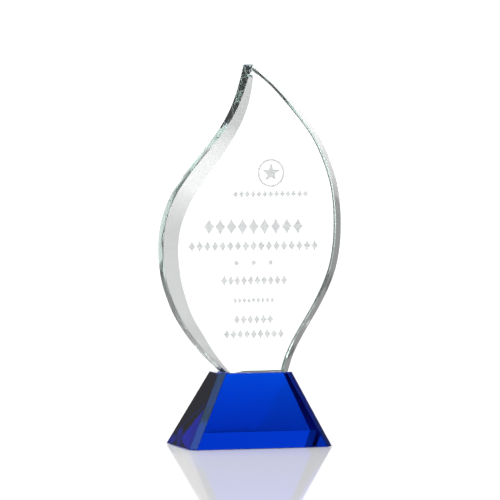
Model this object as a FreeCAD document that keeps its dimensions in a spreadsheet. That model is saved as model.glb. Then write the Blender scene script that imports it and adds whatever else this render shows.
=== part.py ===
import FreeCAD, Part
import math
import os
import Sketcher

# Flame award: a clear optical-glass flame plate stands on edge on a
# cobalt-blue truncated-pyramid block. A thin film of clear UV-cured adhesive
# joins the two. Nothing moves.
#
# Frame: millimetres, +Z up, origin at the centre of the block's underside,
# X across the plate's width, the engraved front face looks toward -Y.

V = FreeCAD.Vector
doc = FreeCAD.newDocument("flame_award")

# ---------------------------------------------------------------- dimensions
dims = doc.addObject("Spreadsheet::Sheet", "Dims")
cells = [
    ("base_height", 44.1, "height of the blue block"),
    ("base_foot_width", 89.2, "block width at the underside"),
    ("base_foot_depth", 56.4, "block depth at the underside"),
    ("base_top_width", 46.0, "block width at the top face"),
    ("base_top_depth", 26.0, "block depth at the top face"),
    ("base_top_offset", 1.1, "top face sits this far to +X of the foot"),
    ("corner_chamfer", 3.5, "flat ground on the four slanted corners"),
    ("base_arris", 0.4, "polished arris round the top and bottom edges"),
    ("film_thickness", 0.15, "adhesive film"),
    ("film_margin", 0.5, "film stops short of the foot's edge"),
    ("plate_thickness", 19.0, "3/4 inch optical glass plate"),
    ("plate_width", 109.1, "largest width of the flame"),
    ("plate_height", 184.4, "foot to tip of the flame"),
    ("bevel_width", 7.75, "widest place of the front-left bevel"),
]
for row, (alias, value, note) in enumerate(cells, start=1):
    dims.set("A%d" % row, note)
    dims.set("B%d" % row, str(value))
    dims.setAlias("B%d" % row, alias)
doc.recompute()


def dim(alias):
    return float(dims.get(alias))


def origin_plane(body, role):
    for feature in body.Origin.OriginFeatures:
        if feature.Role == role:
            return feature
    raise RuntimeError("no plane " + role)


# ---------------------------------------------------------------- blue block
# A wedge primitive gives the true pyramid frustum with its two different
# slopes (width and depth). It is drawn on the XZ plane, so the wedge's own
# Y axis is the block's height.
block = doc.addObject("PartDesign::Body", "BaseBody")
block.Label = "base_block"
wedge = block.newObject("PartDesign::AdditiveWedge", "Frustum")
wedge.AttachmentSupport = (origin_plane(block, "XZ_Plane"), [""])
wedge.MapMode = "FlatFace"
for prop, expr in (
    ("Ymin", "0 mm"),
    ("Ymax", "Dims.base_height * 1 mm"),
    ("Xmin", "-Dims.base_foot_width / 2 * 1 mm"),
    ("Xmax", "Dims.base_foot_width / 2 * 1 mm"),
    ("Zmin", "-Dims.base_foot_depth / 2 * 1 mm"),
    ("Zmax", "Dims.base_foot_depth / 2 * 1 mm"),
    ("X2min", "(Dims.base_top_offset - Dims.base_top_width / 2) * 1 mm"),
    ("X2max", "(Dims.base_top_offset + Dims.base_top_width / 2) * 1 mm"),
    ("Z2min", "-Dims.base_top_depth / 2 * 1 mm"),
    ("Z2max", "Dims.base_top_depth / 2 * 1 mm"),
):
    wedge.setExpression(prop, expr)
doc.recompute()


def edges_where(shape, test):
    names = []
    for i, e in enumerate(shape.Edges, start=1):
        a, b = e.Vertexes[0].Point, e.Vertexes[-1].Point
        if test(a, b):
            names.append("Edge%d" % i)
    return names


slanted = edges_where(wedge.Shape, lambda a, b: abs(a.z - b.z) > dim("base_height") / 2)
corners = block.newObject("PartDesign::Chamfer", "CornerFlats")
corners.Base = (wedge, slanted)
corners.setExpression("Size", "Dims.corner_chamfer * 1 mm")
doc.recompute()

level = edges_where(corners.Shape, lambda a, b: abs(a.z - b.z) < 0.01)
arris = block.newObject("PartDesign::Chamfer", "Arris")
arris.Base = (corners, level)
arris.setExpression("Size", "Dims.base_arris * 1 mm")
doc.recompute()

# ---------------------------------------------------------------- flame plate
# Outline of the flame as points from the foot to the tip: the height is a
# fraction of plate_height and the X position a fraction of plate_width.
LEFT = [
    (0.0, -16.25), (6.0, -22.69), (12.0, -28.59), (20.0, -35.21), (28.0, -40.82),
    (36.0, -45.27), (44.0, -48.57), (52.0, -51.28), (60.0, -52.89), (66.0, -53.59),
    (72.0, -53.98), (78.0, -53.89), (84.0, -53.31), (90.0, -52.17), (96.0, -50.33),
    (102.0, -47.93), (108.0, -44.8), (114.0, -40.87), (120.0, -36.37), (126.0, -31.55),
    (132.0, -26.46), (138.0, -21.49), (144.0, -16.97), (150.0, -13.02), (156.0, -9.71),
    (162.0, -7.01), (168.0, -4.86), (175.0, -2.81), (184.4, -0.45),
]
RIGHT = [
    (0.0, 21.7), (8.0, 24.22), (16.0, 27.91), (24.0, 32.46), (32.0, 37.44),
    (40.0, 42.21), (48.0, 46.39), (56.0, 49.91), (64.0, 52.46), (72.0, 54.03),
    (80.0, 54.89), (88.0, 55.13), (96.0, 54.95), (104.0, 54.26), (112.0, 52.92),
    (120.0, 50.64), (128.0, 47.71), (136.0, 44.03), (144.0, 39.24), (152.0, 33.09),
    (160.0, 26.29), (168.0, 18.99), (175.0, 11.66), (180.0, 5.29), (184.4, -0.45),
]
# Width of the 45 degree bevel ground along the front-left edge, against
# height. It fades out at the foot and just below the tip; a value below
# zero leaves the edge uncut.
BEVEL = [
    (-5.4, 0.3), (-2.5, 0.79), (0.0, 1.24), (4.5, 1.95), (9.5, 2.92),
    (14.5, 3.92), (19.0, 4.72), (24.0, 5.12), (31.0, 5.46), (38.0, 5.95),
    (45.0, 6.39), (53.0, 6.81), (60.0, 6.96), (67.0, 7.01), (74.0, 7.05),
    (81.0, 7.14), (88.0, 7.37), (95.0, 7.58), (103.0, 7.75), (112.0, 7.63),
    (120.0, 7.42), (128.0, 6.99), (136.0, 6.38), (144.0, 5.67), (153.0, 4.9),
    (162.0, 4.02), (169.0, 3.17), (174.5, 2.43), (178.0, 1.55), (180.2, 0.24),
    (182.2, -1.11), (186.2, -3.43),
]
NOMINAL_W, NOMINAL_H, NOMINAL_B = 109.1, 184.4, 7.75
kx = dim("plate_width") / NOMINAL_W
kz = dim("plate_height") / NOMINAL_H
kb = dim("bevel_width") / NOMINAL_B
half = dim("plate_thickness") / 2.0
foot_z = dim("base_height") + dim("film_thickness")

left_curve = Part.BSplineCurve()
left_curve.interpolate([V(x * kx, z * kz, 0) for z, x in LEFT])
right_curve = Part.BSplineCurve()
right_curve.interpolate([V(x * kx, z * kz, 0) for z, x in RIGHT])

plate = doc.addObject("PartDesign::Body", "PlateBody")
plate.Label = "flame_plate"
outline = plate.newObject("Sketcher::SketchObject", "Outline")
outline.AttachmentSupport = (origin_plane(plate, "XZ_Plane"), [""])
outline.MapMode = "FlatFace"
foot_l = V(LEFT[0][1] * kx, 0, 0)
foot_r = V(RIGHT[0][1] * kx, 0, 0)
outline.addGeometry(left_curve, False)
outline.addGeometry(right_curve, False)
outline.addGeometry(Part.LineSegment(foot_l, foot_r), False)
outline.addConstraint(Sketcher.Constraint("Coincident", 0, 1, 2, 1))
outline.addConstraint(Sketcher.Constraint("Coincident", 1, 1, 2, 2))
outline.addConstraint(Sketcher.Constraint("Coincident", 0, 2, 1, 2))
outline.addConstraint(Sketcher.Constraint("Horizontal", 2))
pad = plate.newObject("PartDesign::Pad", "Slab")
pad.Profile = outline
pad.setExpression("Length", "Dims.plate_thickness * 1 mm")
pad.SideType = "Symmetric"
doc.recompute()
slab_volume = pad.Shape.Volume

# The bevel: triangular sections stand square to the left edge and are lofted
# along it. Each section's long side is the 45 degree bevel line; its other
# corners lie outside the slab.
def left_point(z):
    """Point and inward normal of the left edge at height z above the foot;
    beyond either end the edge carries on along its tangent."""
    first, last = left_curve.FirstParameter, left_curve.LastParameter
    z_end = NOMINAL_H * kz
    if z < 0:
        u = first
    elif z > z_end:
        u = last
    else:
        lo, hi = first, last
        for _ in range(60):
            mid = (lo + hi) / 2
            if left_curve.value(mid).y < z:
                lo = mid
            else:
                hi = mid
        u = (lo + hi) / 2
    p = left_curve.value(u)
    t = left_curve.tangent(u)[0]
    if t.y < 0:
        t = t * -1
    if z < 0:
        p = p + t * (z / t.y)
    elif z > z_end:
        p = p + t * ((z - z_end) / t.y)
    return p, V(t.y, -t.x, 0)


REACH = 4.0
sections = []
for i, (z, w) in enumerate(BEVEL):
    p, n = left_point(z * kz)
    w = w * kb
    sk = plate.newObject("Sketcher::SketchObject", "BevelSection%02d" % i)
    # section plane: x along the inward normal, y along the depth (+Y)
    nx = V(n.x, 0, n.y)
    ny = V(0, 1, 0)
    nz = nx.cross(ny)
    m = FreeCAD.Matrix(nx.x, ny.x, nz.x, p.x,
                       nx.y, ny.y, nz.y, 0,
                       nx.z, ny.z, nz.z, p.y,
                       0, 0, 0, 1)
    sk.Placement = FreeCAD.Placement(m)
    a = V(w + REACH, -half - REACH, 0)
    b = V(-REACH, -half + w + REACH, 0)
    c = V(-REACH, -half - REACH, 0)
    sk.addGeometry(Part.LineSegment(a, b), False)
    sk.addGeometry(Part.LineSegment(b, c), False)
    sk.addGeometry(Part.LineSegment(c, a), False)
    sk.addConstraint(Sketcher.Constraint("Coincident", 0, 2, 1, 1))
    sk.addConstraint(Sketcher.Constraint("Coincident", 1, 2, 2, 1))
    sk.addConstraint(Sketcher.Constraint("Coincident", 2, 2, 0, 1))
    sk.addConstraint(Sketcher.Constraint("Vertical", 1))
    sk.addConstraint(Sketcher.Constraint("Horizontal", 2))
    sections.append(sk)
doc.recompute()
bevel = plate.newObject("PartDesign::SubtractiveLoft", "FrontLeftBevel")
bevel.Profile = sections[0]
bevel.Sections = sections[1:]
bevel.Ruled = False
bevel.Closed = False
doc.recompute()
plate.setExpression("Placement.Base.z", "(Dims.base_height + Dims.film_thickness) * 1 mm")
doc.recompute()
print("slab volume %.0f, after bevel %.0f" % (slab_volume, bevel.Shape.Volume))

# ---------------------------------------------------------------- bond film
# The cured adhesive under the plate's foot, a little inside its outline. The
# foot's front-left corner is cut off by the bevel, and the film follows it.
film = doc.addObject("PartDesign::Body", "FilmBody")
film.Label = "bond_film"
fs = film.newObject("Sketcher::SketchObject", "FilmOutline")
fs.AttachmentSupport = (origin_plane(film, "XY_Plane"), [""])
fs.MapMode = "FlatFace"
mg = dim("film_margin")
cut = BEVEL[2][1] * kb * 1.3
xl, xr = foot_l.x + mg, foot_r.x - mg
yf, yb = -half + mg, half - mg
pts = [V(xl + cut, yf, 0), V(xr, yf, 0), V(xr, yb, 0), V(xl, yb, 0), V(xl, yf + cut, 0)]
for i in range(5):
    fs.addGeometry(Part.LineSegment(pts[i], pts[(i + 1) % 5]), False)
for i in range(5):
    fs.addConstraint(Sketcher.Constraint("Coincident", i, 2, (i + 1) % 5, 1))
for i, kind in ((0, "Horizontal"), (1, "Vertical"), (2, "Horizontal"), (3, "Vertical")):
    fs.addConstraint(Sketcher.Constraint(kind, i))
fpad = film.newObject("PartDesign::Pad", "Film")
fpad.Profile = fs
fpad.setExpression("Length", "Dims.film_thickness * 1 mm")
film.setExpression("Placement.Base.z", "Dims.base_height * 1 mm")
doc.recompute()

# ---------------------------------------------------------------- check, write
for obj in doc.Objects:
    bad = [s for s in obj.State if s in ("Invalid", "Error")]
    if bad:
        raise RuntimeError("%s is %s" % (obj.Name, bad))
if not bevel.Shape.Volume < slab_volume - 1000:
    raise RuntimeError("the bevel removed nothing")
os.makedirs("parts", exist_ok=True)
for body in (block, plate, film):
    shape = body.Shape
    if shape.isNull() or not shape.isValid() or len(shape.Solids) != 1:
        raise RuntimeError("%s is not one valid solid" % body.Label)
    bb = shape.BoundBox
    print("%-12s X %.2f..%.2f Y %.2f..%.2f Z %.2f..%.2f volume %.0f faces %d" % (
        body.Label, bb.XMin, bb.XMax, bb.YMin, bb.YMax, bb.ZMin, bb.ZMax,
        shape.Volume, len(shape.Faces)))
    shape.exportStep("parts/%s.step" % body.Label)
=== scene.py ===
import math

import bmesh
import bpy
import numpy as np
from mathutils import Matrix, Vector


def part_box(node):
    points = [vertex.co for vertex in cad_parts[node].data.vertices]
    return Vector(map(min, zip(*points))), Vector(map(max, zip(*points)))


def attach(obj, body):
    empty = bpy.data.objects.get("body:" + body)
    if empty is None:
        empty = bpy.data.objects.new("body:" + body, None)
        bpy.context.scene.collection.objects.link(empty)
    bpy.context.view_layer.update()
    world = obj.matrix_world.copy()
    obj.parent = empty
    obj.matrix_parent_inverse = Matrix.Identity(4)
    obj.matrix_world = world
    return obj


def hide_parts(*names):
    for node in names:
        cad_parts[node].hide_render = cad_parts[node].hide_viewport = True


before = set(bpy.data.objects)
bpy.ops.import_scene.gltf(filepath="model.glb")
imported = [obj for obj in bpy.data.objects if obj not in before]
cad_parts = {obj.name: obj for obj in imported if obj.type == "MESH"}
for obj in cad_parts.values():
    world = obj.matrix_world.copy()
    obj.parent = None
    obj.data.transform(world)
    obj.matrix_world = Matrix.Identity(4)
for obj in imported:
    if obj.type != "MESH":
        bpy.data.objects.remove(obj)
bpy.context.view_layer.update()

MM = 0.001
scene = bpy.context.scene

# ------------------------------------------------------------------ helpers


def spline(xs, ys):
    """Natural cubic spline through the points, as a function of x."""
    x = np.array(xs, float)
    y = np.array(ys, float)
    n = len(x)
    h = np.diff(x)
    a = np.zeros((n, n))
    r = np.zeros(n)
    a[0, 0] = a[-1, -1] = 1
    for i in range(1, n - 1):
        a[i, i - 1], a[i, i], a[i, i + 1] = h[i - 1], 2 * (h[i - 1] + h[i]), h[i]
        r[i] = 6 * ((y[i + 1] - y[i]) / h[i] - (y[i] - y[i - 1]) / h[i - 1])
    m = np.linalg.solve(a, r)

    def f(t):
        t = np.asarray(t, float)
        k = np.clip(np.searchsorted(x, t) - 1, 0, n - 2)
        d0, d1 = t - x[k], x[k + 1] - t
        inside = (
            m[k] * d1**3 / (6 * h[k])
            + m[k + 1] * d0**3 / (6 * h[k])
            + (y[k] / h[k] - m[k] * h[k] / 6) * d1
            + (y[k + 1] / h[k] - m[k + 1] * h[k] / 6) * d0
        )
        s0 = (y[1] - y[0]) / h[0] - h[0] * (2 * m[0] + m[1]) / 6
        s1 = (y[-1] - y[-2]) / h[-1] + h[-1] * (m[-2] + 2 * m[-1]) / 6
        out = np.where(t < x[0], y[0] + (t - x[0]) * s0, inside)
        return np.where(t > x[-1], y[-1] + (t - x[-1]) * s1, out)

    return f


def add_object(name, bm, material, smooth=True):
    mesh = bpy.data.meshes.new(name)
    bm.normal_update()
    bm.to_mesh(mesh)
    bm.free()
    if smooth:
        for p in mesh.polygons:
            p.use_smooth = True
    o = bpy.data.objects.new(name, mesh)
    scene.collection.objects.link(o)
    mesh.materials.append(material)
    return o


def apply_modifiers(o):
    bpy.context.view_layer.update()
    dg = bpy.context.evaluated_depsgraph_get()
    mesh = bpy.data.meshes.new_from_object(o.evaluated_get(dg), depsgraph=dg)
    o.modifiers.clear()
    o.data = mesh


def sharp_edges(bm, degrees):
    lim = math.radians(degrees)
    return [e for e in bm.edges if len(e.link_faces) == 2 and e.calc_face_angle(0) > lim]


class Nodes:
    """Short hands for building a node tree."""

    def __init__(self, tree):
        self.t = tree
        tree.nodes.clear()

    def new(self, kind, **props):
        n = self.t.nodes.new(kind)
        for k, v in props.items():
            setattr(n, k, v)
        return n

    def link(self, a, b):
        self.t.links.new(a, b)

    def math(self, op, a, b=None, c=None, clamp=False):
        n = self.new("ShaderNodeMath", operation=op, use_clamp=clamp)
        for i, v in enumerate((a, b, c)):
            if v is None:
                continue
            if isinstance(v, (int, float)):
                n.inputs[i].default_value = v
            else:
                self.link(v, n.inputs[i])
        return n.outputs[0]

    def blend(self, factor, a, b):
        """Colour a where factor is 0, colour b where it is 1."""
        n = self.new("ShaderNodeMix", data_type="RGBA")
        self.link(factor, n.inputs[0])
        n.inputs[6].default_value = (*a, 1)
        n.inputs[7].default_value = (*b, 1)
        return n.outputs[2]

    def smooth(self, value, lo, hi, out_lo=0.0, out_hi=1.0):
        n = self.new("ShaderNodeMapRange", interpolation_type="SMOOTHSTEP")
        self.link(value, n.inputs["Value"])
        n.inputs["From Min"].default_value = lo
        n.inputs["From Max"].default_value = hi
        n.inputs["To Min"].default_value = out_lo
        n.inputs["To Max"].default_value = out_hi
        return n.outputs["Result"]


def new_material(name):
    m = bpy.data.materials.new(name)
    m.use_nodes = True
    return m, Nodes(m.node_tree)


# ---------------------------------------------------------------- materials


def between(n, value, lo, hi):
    """1 where lo < value < hi, else 0."""
    return n.math("MULTIPLY", n.math("GREATER_THAN", value, lo), n.math("LESS_THAN", value, hi))


def crystal(name, ior, sigma, tint=(1, 1, 1), wave=0.0, polish=0.0, seam=0.0, satin=0.0, shine=1.0):
    """Polished optical glass. sigma is the absorption per metre of red, green
    and blue. wave is the height in metres of the slow waviness that grinding
    leaves on a plate's narrow walls, and polish that of the fainter one left
    on every face. seam is the roughness of a ground seam along a right back
    edge, whose base colour is also painted near black: painted shade that
    darkens the light passing through it. satin is the roughness of corner
    chamfers that are less polished, which also get a painted blue reflection
    through their specular tint. shine scales reflections. Where seam is given,
    the plate's long left wall gets a painted reflection: its specular tint
    darkens its reflections, in the green that the glass shows through its length."""
    m, n = new_material(name)
    out = n.new("ShaderNodeOutputMaterial")
    b = n.new("ShaderNodeBsdfPrincipled")
    b.inputs["Base Color"].default_value = (*tint, 1)
    b.inputs["Transmission Weight"].default_value = 1.0
    b.inputs["IOR"].default_value = ior
    b.inputs["Roughness"].default_value = 0.0
    b.inputs["Specular Tint"].default_value = (shine, shine, shine, 1)
    n.link(b.outputs[0], out.inputs["Surface"])
    dens = max(sigma)
    v = n.new("ShaderNodeVolumeAbsorption")
    v.inputs["Density"].default_value = dens
    v.inputs["Color"].default_value = (*[1 - s / dens for s in sigma], 1)
    n.link(v.outputs[0], out.inputs["Volume"])
    tc = n.new("ShaderNodeTexCoord")
    geo = n.new("ShaderNodeNewGeometry")
    sep = n.new("ShaderNodeSeparateXYZ")
    n.link(geo.outputs["True Normal"], sep.inputs[0])
    turn = n.math("SUBTRACT", 1.0, n.math("MULTIPLY", geo.outputs["Backfacing"], 2.0))
    out_x = n.math("MULTIPLY", sep.outputs["X"], turn)
    out_y = n.math("MULTIPLY", sep.outputs["Y"], turn)
    across = n.math("ABSOLUTE", sep.outputs["Y"])
    wall = n.math("LESS_THAN", across, 0.45)
    coarse = n.new("ShaderNodeTexNoise")
    coarse.inputs["Scale"].default_value = 60
    coarse.inputs["Detail"].default_value = 0.6
    n.link(tc.outputs["Object"], coarse.inputs["Vector"])
    fine = n.new("ShaderNodeTexNoise")
    fine.inputs["Scale"].default_value = 70
    fine.inputs["Detail"].default_value = 0
    n.link(tc.outputs["Object"], fine.inputs["Vector"])
    height = n.math("MULTIPLY", n.math("MULTIPLY", coarse.outputs[0], wall), wave)
    height = n.math("ADD", height, n.math("MULTIPLY", fine.outputs[0], polish))
    bump = n.new("ShaderNodeBump")
    bump.inputs["Strength"].default_value = 1.0
    bump.inputs["Distance"].default_value = 1.0
    n.link(height, bump.inputs["Height"])
    n.link(bump.outputs[0], b.inputs["Normal"])
    # Painted shade: the seam faces get roughness and a near-black base colour, which darkens the light that passes
    # through them.
    if seam:
        on = n.math("MULTIPLY", n.math("GREATER_THAN", out_x, 0.02), between(n, out_y, 0.4, 0.985))
        n.link(n.math("MULTIPLY", on, seam), b.inputs["Roughness"])
        n.link(n.blend(on, tint, (0.03, 0.038, 0.036)), b.inputs["Base Color"])
        # Painted reflection: the long left wall's reflections are darkened and tinted green through the specular tint.
        left = n.math("MULTIPLY", wall, n.math("LESS_THAN", out_x, -0.15))
        n.link(n.blend(left, (shine,) * 3, (0.42, 0.60, 0.56)), b.inputs["Specular Tint"])
    # Painted reflection: the corner chamfers get roughness and a blue specular tint, which paints their reflections
    # blue.
    if satin:
        on = n.math("MULTIPLY", between(n, across, 0.3, 0.9), n.math("GREATER_THAN", n.math("ABSOLUTE", sep.outputs["X"]), 0.3))
        n.link(n.math("MULTIPLY", on, satin), b.inputs["Roughness"])
        n.link(n.blend(on, (shine,) * 3, (0.30, 0.56, 0.80)), b.inputs["Specular Tint"])
    return m


clear_mat = crystal("clear_crystal_glass", 1.52, (1.6, 0.45, 0.85), wave=9.0e-4, polish=4e-7, seam=0.12)
blue_mat = crystal("cobalt_crystal_glass", 1.66, (140.0, 28.0, 12.0), (0.003, 0.148, 0.98), polish=3e-6, satin=0.24, shine=0.75)

# ------------------------------------------------------------- flame plate
lo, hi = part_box("flame_plate")
FOOT_Z = lo.z
HEIGHT = hi.z - lo.z
HALF = (hi.y - lo.y) / 2

LEFT = [
    (0.0, -16.25), (6.0, -22.69), (12.0, -28.59), (20.0, -35.21), (28.0, -40.82),
    (36.0, -45.27), (44.0, -48.57), (52.0, -51.28), (60.0, -52.89), (66.0, -53.59),
    (72.0, -53.98), (78.0, -53.89), (84.0, -53.31), (90.0, -52.17), (96.0, -50.33),
    (102.0, -47.93), (108.0, -44.8), (114.0, -40.87), (120.0, -36.37), (126.0, -31.55),
    (132.0, -26.46), (138.0, -21.49), (144.0, -16.97), (150.0, -13.02), (156.0, -9.71),
    (162.0, -7.01), (168.0, -4.86), (175.0, -2.81), (184.4, -0.45),
]
RIGHT = [
    (0.0, 21.7), (8.0, 24.22), (16.0, 27.91), (24.0, 32.46), (32.0, 37.44),
    (40.0, 42.21), (48.0, 46.39), (56.0, 49.91), (64.0, 52.46), (72.0, 54.03),
    (80.0, 54.89), (88.0, 55.13), (96.0, 54.95), (104.0, 54.26), (112.0, 52.92),
    (120.0, 50.64), (128.0, 47.71), (136.0, 44.03), (144.0, 39.24), (152.0, 33.09),
    (160.0, 26.29), (168.0, 18.99), (175.0, 11.66), (180.0, 5.29), (184.4, -0.45),
]
BEVEL = [
    (-5.4, 0.3), (-2.5, 0.79), (0.0, 1.24), (4.5, 1.95), (9.5, 2.92),
    (14.5, 3.92), (19.0, 4.72), (24.0, 5.12), (31.0, 5.46), (38.0, 5.95),
    (45.0, 6.39), (53.0, 6.81), (60.0, 6.96), (67.0, 7.01), (74.0, 7.05),
    (81.0, 7.14), (88.0, 7.37), (95.0, 7.58), (103.0, 7.75), (112.0, 7.63),
    (120.0, 7.42), (128.0, 6.99), (136.0, 6.38), (144.0, 5.67), (153.0, 4.9),
    (162.0, 4.02), (169.0, 3.17), (174.5, 2.43), (178.0, 1.55), (180.2, 0.24),
    (182.2, -1.11), (186.2, -3.43),
]
NOMINAL_H = 184.4
KX = MM
KZ = MM
KW = MM
SEAM = 0.75

left_f = spline(*zip(*LEFT))
right_f = spline(*zip(*RIGHT))
bevel_f = spline(*zip(*BEVEL))


def build_plate():
    rows = 460
    z = np.concatenate([np.linspace(-7.0, 0.0, 9)[:-1], np.linspace(0.0, NOMINAL_H, rows)])
    e = 0.01
    xl = left_f(z)
    dx = (left_f(z + e) - left_f(z - e)) / (2 * e)
    nx, nz = 1 / np.sqrt(1 + dx**2), -dx / np.sqrt(1 + dx**2)
    w = np.maximum(bevel_f(z), 0.0)
    w[z > 180.6] = 0.0
    xr = right_f(z)
    bm = bmesh.new()

    def P(x, y, zz):
        return bm.verts.new((x * KX, y, FOOT_Z + zz * KZ))

    lb = [P(a, HALF, c) for a, c in zip(xl, z)]
    lw = [P(a, -HALF + b * KW, c) for a, b, c in zip(xl, w, z)]
    fi = [P(a + p * b, -HALF, c + q * b) for a, b, c, p, q in zip(xl, w, z, nx, nz)]
    # the seam along the right back edge is wider than the other arrises
    dr = (right_f(z + e) - right_f(z - e)) / (2 * e)
    ux, uz = -1 / np.sqrt(1 + dr**2), dr / np.sqrt(1 + dr**2)
    rw = np.where(z > 183.4, 0.0, SEAM)
    rf = [P(a, -HALF, c) for a, c in zip(xr, z)]
    rs = [P(a, HALF - g * MM, c) for a, c, g in zip(xr, z, rw)]
    rb = [P(a + g * p, HALF, c + g * q) for a, c, p, q, g in zip(xr, z, ux, uz, rw)]
    n = len(z)
    for i in range(n - 1):
        for a, b in ((lb, lw), (lw, fi), (fi, rf), (rf, rs), (rs, rb), (rb, lb)):
            bm.faces.new((a[i], b[i], b[i + 1], a[i + 1]))
    bmesh.ops.remove_doubles(bm, verts=bm.verts, dist=1e-6)
    bmesh.ops.dissolve_degenerate(bm, edges=bm.edges, dist=1e-6)
    bmesh.ops.bisect_plane(
        bm, geom=bm.verts[:] + bm.edges[:] + bm.faces[:], dist=1e-7,
        plane_co=(0, 0, FOOT_Z), plane_no=(0, 0, -1), clear_outer=True)
    bmesh.ops.holes_fill(bm, edges=[x for x in bm.edges if x.is_boundary], sides=0)
    bmesh.ops.recalc_face_normals(bm, faces=bm.faces)
    return bm


def arris(bm, size, degrees=24):
    edges = sharp_edges(bm, degrees)
    bmesh.ops.bevel(
        bm, geom=edges, offset=size, offset_type="OFFSET", segments=2,
        profile=0.6, affect="EDGES", clamp_overlap=False, miter_outer="SHARP",
        loop_slide=True)


bm = build_plate()
open_edges = sum(1 for x in bm.edges if len(x.link_faces) != 2)
print("plate open edges", open_edges, "volume", bm.calc_volume() * 1e9)
arris(bm, 0.22 * MM)
bmesh.ops.remove_doubles(bm, verts=bm.verts, dist=1e-6)
print("after arris: open", sum(1 for x in bm.edges if len(x.link_faces) != 2), "volume", bm.calc_volume() * 1e9, len(bm.faces))
plate = add_object("flame_plate_glass", bm, clear_mat)
wn = plate.modifiers.new("normals", "WEIGHTED_NORMAL")
wn.mode = "FACE_AREA"
wn.weight = 100
wn.keep_sharp = True
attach(plate, "root")
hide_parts("flame_plate")

# ------------------------------------------------------------- engraving
# A plain ornament on the front face: a star in a ring over rows of lozenges.
FACE = -HALF


def frosted():
    m, n = new_material("frosted_engraving")
    out = n.new("ShaderNodeOutputMaterial")
    b = n.new("ShaderNodeBsdfPrincipled")
    b.inputs["Base Color"].default_value = (0.86, 0.865, 0.87, 1)
    b.inputs["Transmission Weight"].default_value = 0.86
    b.inputs["IOR"].default_value = 1.45
    n.link(b.outputs[0], out.inputs["Surface"])
    tc = n.new("ShaderNodeTexCoord")
    grain = n.new("ShaderNodeTexNoise")
    grain.inputs["Scale"].default_value = 2600
    grain.inputs["Detail"].default_value = 2
    n.link(tc.outputs["Object"], grain.inputs["Vector"])
    n.link(n.math("MULTIPLY_ADD", grain.outputs[0], 0.3, 0.28), b.inputs["Roughness"])
    bump = n.new("ShaderNodeBump")
    bump.inputs["Strength"].default_value = 1.0
    bump.inputs["Distance"].default_value = 0.00002
    n.link(grain.outputs[0], bump.inputs["Height"])
    n.link(bump.outputs[0], b.inputs["Normal"])
    return m


frost_mat = frosted()
NEAR, FAR = FACE - 0.06 * MM, FACE - 0.02 * MM


def solid(bm, outer, inner=None):
    """A thin closed plate with the outline `outer`, round the hole `inner`."""
    k = len(outer)
    of = [bm.verts.new((x * MM, NEAR, z * MM)) for x, z in outer]
    ob = [bm.verts.new((x * MM, FAR, z * MM)) for x, z in outer]
    for i in range(k):
        j = (i + 1) % k
        bm.faces.new((of[i], of[j], ob[j], ob[i]))
    if inner is None:
        bm.faces.new(of)
        bm.faces.new(list(reversed(ob)))
        return
    nf = [bm.verts.new((x * MM, NEAR, z * MM)) for x, z in inner]
    nb = [bm.verts.new((x * MM, FAR, z * MM)) for x, z in inner]
    for i in range(k):
        j = (i + 1) % k
        bm.faces.new((nf[j], nf[i], nb[i], nb[j]))
        bm.faces.new((of[j], of[i], nf[i], nf[j]))
        bm.faces.new((ob[i], ob[j], nb[j], nb[i]))


def lozenge(cx, cz, hw, hz, bow=0.12):
    """A lozenge whose four sides curve in a little."""
    pts = []
    corners = [(hw, 0), (0, hz), (-hw, 0), (0, -hz)]
    for i in range(4):
        (x0, z0), (x1, z1) = corners[i], corners[(i + 1) % 4]
        for k in range(5):
            t = k / 5
            dip = 1 - bow * 4 * t * (1 - t)
            pts.append((cx + (x0 + (x1 - x0) * t) * dip, cz + (z0 + (z1 - z0) * t) * dip))
    return pts


def disc(cx, cz, r, k=28):
    return [(cx + r * math.cos(2 * math.pi * i / k), cz + r * math.sin(2 * math.pi * i / k)) for i in range(k)]


def row(bm, x0, x1, cz, count, hw, hz, stroke=0.0):
    for i in range(count):
        cx = x0 + hw + (x1 - x0 - 2 * hw) * i / (count - 1)
        inner = None
        if stroke:
            inner = lozenge(cx, cz, hw - stroke * 1.25, hz - stroke * 1.6)
        solid(bm, lozenge(cx, cz, hw, hz), inner)


def engraving(name, bm):
    bmesh.ops.recalc_face_normals(bm, faces=bm.faces)
    o = add_object(name, bm, frost_mat, smooth=False)
    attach(o, "root")
    return o


bm = bmesh.new()
EX, EZ = 11.0, 163.6
solid(bm, disc(EX, EZ, 8.4, 56), disc(EX, EZ, 7.3, 56))
solid(bm, [(EX + r * math.sin(math.pi * i / 5), EZ + r * math.cos(math.pi * i / 5))
           for i, r in enumerate([5.9, 2.5] * 5)])
row(bm, -12.8, 34.3, 151.0, 13, 1.7, 2.2)
engraving("engraved_emblem", bm)

bm = bmesh.new()
row(bm, -30.9, 31.1, 131.6, 9, 3.2, 4.9)
row(bm, -40.6, 40.6, 120.0, 17, 2.2, 3.3)
for cx in (-10.7, 0.0, 10.7):
    solid(bm, disc(cx, 109.9, 1.4))
engraving("engraved_title_rows", bm)

bm = bmesh.new()
row(bm, -20.3, 21.1, 99.3, 10, 1.9, 3.0)
row(bm, -12.8, 12.9, 87.4, 9, 1.2, 1.7)
row(bm, -12.2, 12.3, 75.9, 6, 1.85, 2.8)
row(bm, -18.6, 19.0, 67.2, 9, 1.9, 2.8)
engraving("engraved_lower_rows", bm)

# -------------------------------------------------------------- blue block
blo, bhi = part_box("base_block")
BH = bhi.z
TOP_W, TOP_D, TOP_X = 46.0 * MM, 26.0 * MM, 1.1 * MM
FOOT_W, FOOT_D = 89.2 * MM, 56.4 * MM


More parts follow.
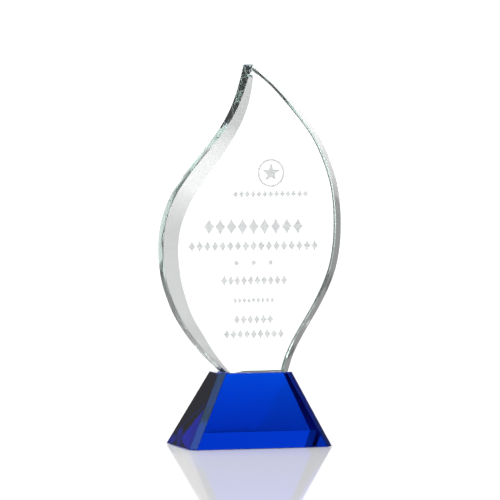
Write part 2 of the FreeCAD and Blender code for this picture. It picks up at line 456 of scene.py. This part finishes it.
def build_block():
    bm = bmesh.new()
    c, e = 3.84 * MM, 3.66 * MM

    def ring(w, d, z, shift):
        pts = [(-w / 2 + c, -d / 2), (w / 2 - c, -d / 2), (w / 2, -d / 2 + e), (w / 2, d / 2 - e),
               (w / 2 - c, d / 2), (-w / 2 + c, d / 2), (-w / 2, d / 2 - e), (-w / 2, -d / 2 + e)]
        return [bm.verts.new((x + shift, y, z)) for x, y in pts]

    a = ring(FOOT_W, FOOT_D, 0.0, 0.0)
    b = ring(TOP_W, TOP_D, BH, TOP_X)
    for i in range(8):
        j = (i + 1) % 8
        bm.faces.new((a[i], a[j], b[j], b[i]))
    bm.faces.new(b)
    bm.faces.new(list(reversed(a)))
    bmesh.ops.recalc_face_normals(bm, faces=bm.faces)
    return bm


bm = build_block()
arris(bm, 0.3 * MM)
block = add_object("base_block_glass", bm, blue_mat)
wn = block.modifiers.new("normals", "WEIGHTED_NORMAL")
wn.mode = "FACE_AREA"
wn.weight = 100
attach(block, "root")
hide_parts("base_block")

# -------------------------------------------------------------- bond film
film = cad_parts["bond_film"]
film.data.materials.clear()
film.data.materials.append(crystal("clear_adhesive", 1.5, (4.0, 2.0, 2.5), polish=2e-6))

# ------------------------------------------------------------------- stage


def build_floor():
    """A pale satin floor. Behind the award its base colour is painted darker with
    distance, a painted light falloff, except along the strip in front of the
    white backdrop card, which keeps its pale colour."""
    bm = bmesh.new()
    radius = 2.4
    bmesh.ops.create_circle(bm, cap_ends=True, radius=radius, segments=128)
    for v in bm.verts:
        v.co.z = -0.0003
    m, n = new_material("pale_floor")
    out = n.new("ShaderNodeOutputMaterial")
    b = n.new("ShaderNodeBsdfPrincipled")
    tc = n.new("ShaderNodeTexCoord")
    sep = n.new("ShaderNodeSeparateXYZ")
    n.link(tc.outputs["Object"], sep.inputs[0])
    far = n.math("SQRT", n.math("ADD", n.math("POWER", sep.outputs["X"], 2.0), n.math("POWER", sep.outputs["Y"], 2.0)))
    head = n.math("MULTIPLY", n.math("ARCTAN2", sep.outputs["X"], sep.outputs["Y"]), 180 / math.pi)
    # Painted shade: in two zones behind the award, either side of the pale strip, the base colour darkens with
    # distance, and more again far off on the left.
    near = n.math("MULTIPLY", n.smooth(head, -7.0, 2.0, 1.0, 0.0), n.smooth(far, 1.1, 1.8, 1.0, 0.0))
    left = n.math("MAXIMUM", n.smooth(head, -14.0, -6.0, 1.0, 0.0), near)
    left = n.math("MULTIPLY", left, n.smooth(head, -48.0, -33.0))
    right = n.math("MULTIPLY", n.smooth(head, 31.0, 39.0), n.smooth(head, 67.0, 82.0, 1.0, 0.0))
    painted_shade_zone = n.math("ADD", left, right)
    deeper_painted_shade = n.math("MULTIPLY", n.smooth(head, -17.0, -9.0, 1.0, 0.0), n.smooth(far, 0.9, 1.6, 0.0, 0.36))
    painted_falloff = n.math("MULTIPLY", painted_shade_zone, n.math("ADD", n.smooth(far, 0.35, 1.0, 0.0, 0.37), deeper_painted_shade))
    level = n.math("MULTIPLY", n.math("SUBTRACT", 1.0, painted_falloff), 0.9)
    grain = n.new("ShaderNodeTexNoise")
    grain.inputs["Scale"].default_value = 900
    grain.inputs["Detail"].default_value = 2
    n.link(tc.outputs["Object"], grain.inputs["Vector"])
    level = n.math("MULTIPLY", level, n.math("MULTIPLY_ADD", grain.outputs[0], 0.02, 0.99))
    mix = n.new("ShaderNodeCombineColor")
    for k in ("Red", "Green", "Blue"):
        n.link(level, mix.inputs[k])
    n.link(mix.outputs[0], b.inputs["Base Color"])
    b.inputs["Roughness"].default_value = 0.05
    b.inputs["IOR"].default_value = 1.1
    n.link(b.outputs[0], out.inputs["Surface"])
    o = add_object("floor", bm, m, smooth=False)
    return o


floor = build_floor()

# Soft studio surround. White cards close the horizon where the award is seen
# against it, the walls between them are grey, a dark ceiling rim stands above
# them and one large soft light hangs overhead.
world = bpy.data.worlds.new("studio")
scene.world = world
world.cycles.sampling_method = "MANUAL"
world.cycles.sample_map_resolution = 1024
world.use_nodes = True
n = Nodes(world.node_tree)
wout = n.new("ShaderNodeOutputWorld")
bg = n.new("ShaderNodeBackground")
n.link(bg.outputs[0], wout.inputs["Surface"])
tc = n.new("ShaderNodeTexCoord")
sep = n.new("ShaderNodeSeparateXYZ")
n.link(tc.outputs["Generated"], sep.inputs[0])
elev = n.math("MULTIPLY", n.math("ARCSINE", sep.outputs["Z"]), 180 / math.pi)
head = n.math("MULTIPLY", n.math("ARCTAN2", sep.outputs["X"], sep.outputs["Y"]), 180 / math.pi)


def card(centre, half, soft, gain):
    """A card round the heading `centre`, fading over `soft` degrees."""
    off = n.math("ABSOLUTE", n.math("WRAP", n.math("SUBTRACT", head, centre), 180.0, -180.0))
    return n.smooth(off, half, half + soft, gain, 0.0)


WALL = 0.26
wall = n.math("ADD", card(8.5, 12.0, 5.0, 0.94), WALL)
wall = n.math("ADD", wall, n.math("MULTIPLY", card(45.0, 18.0, 12.0, 0.39), n.smooth(elev, 6.0, 22.0, 1.0, 0.0)))
wall = n.math("ADD", wall, card(-90.0, 8.0, 12.0, 0.94))
wall = n.math("ADD", wall, n.math("MULTIPLY", card(160.0, 10.0, 6.0, 0.80), n.smooth(elev, 9.0, 13.0, 1.0, 0.0)))
wall = n.math("ADD", wall, card(193.0, 6.0, 5.0, -0.16))
wall = n.math("ADD", wall, card(180.0, 5.0, 4.0, 0.74))
# a small dark flag in the left wall
reach = n.math("SQRT", n.math("ADD", n.math("POWER", n.math("ADD", head, 13.5), 2.0),
                              n.math("POWER", n.math("SUBTRACT", elev, 10.2), 2.0)))
wall = n.math("MULTIPLY", wall, n.smooth(reach, 1.2, 3.4, 0.45, 1.0))
rim = n.smooth(elev, 17.0, 22.0, 1.0, 0.0)
band = n.math("ADD", n.math("MULTIPLY", wall, rim), 0.02)
ceiling = n.smooth(elev, 60.0, 75.0, 0.0, 6.5)
side = n.math("MULTIPLY", card(-93.0, 18.0, 12.0, 2.0),
              n.math("MULTIPLY", n.smooth(elev, 32.0, 42.0), n.smooth(elev, 58.0, 66.0, 1.0, 0.0)))
n.link(n.math("ADD", n.math("ADD", band, side), ceiling), bg.inputs["Strength"])
bg.inputs["Color"].default_value = (1, 1, 1, 1)

# ------------------------------------------------------------------ camera
AZ = math.radians(17.069)
DIST = 2.5376
cam_data = bpy.data.cameras.new("camera")
cam_data.sensor_fit = "HORIZONTAL"
cam_data.sensor_width = 36.0
cam_data.lens = 4228.4 / 500 * 36.0
cam_data.clip_start = 0.01
cam = bpy.data.objects.new("camera", cam_data)
scene.collection.objects.link(cam)
cam.location = (-math.sin(AZ) * DIST, -math.cos(AZ) * DIST, 0.2182)
cam.rotation_euler = (math.radians(90 - 2.28), 0, -math.radians(17.085))
scene.camera = cam

scene.view_settings.view_transform = "Standard"
scene.cycles.max_bounces = 24
scene.cycles.transmission_bounces = 24
scene.cycles.glossy_bounces = 16
scene.cycles.diffuse_bounces = 4
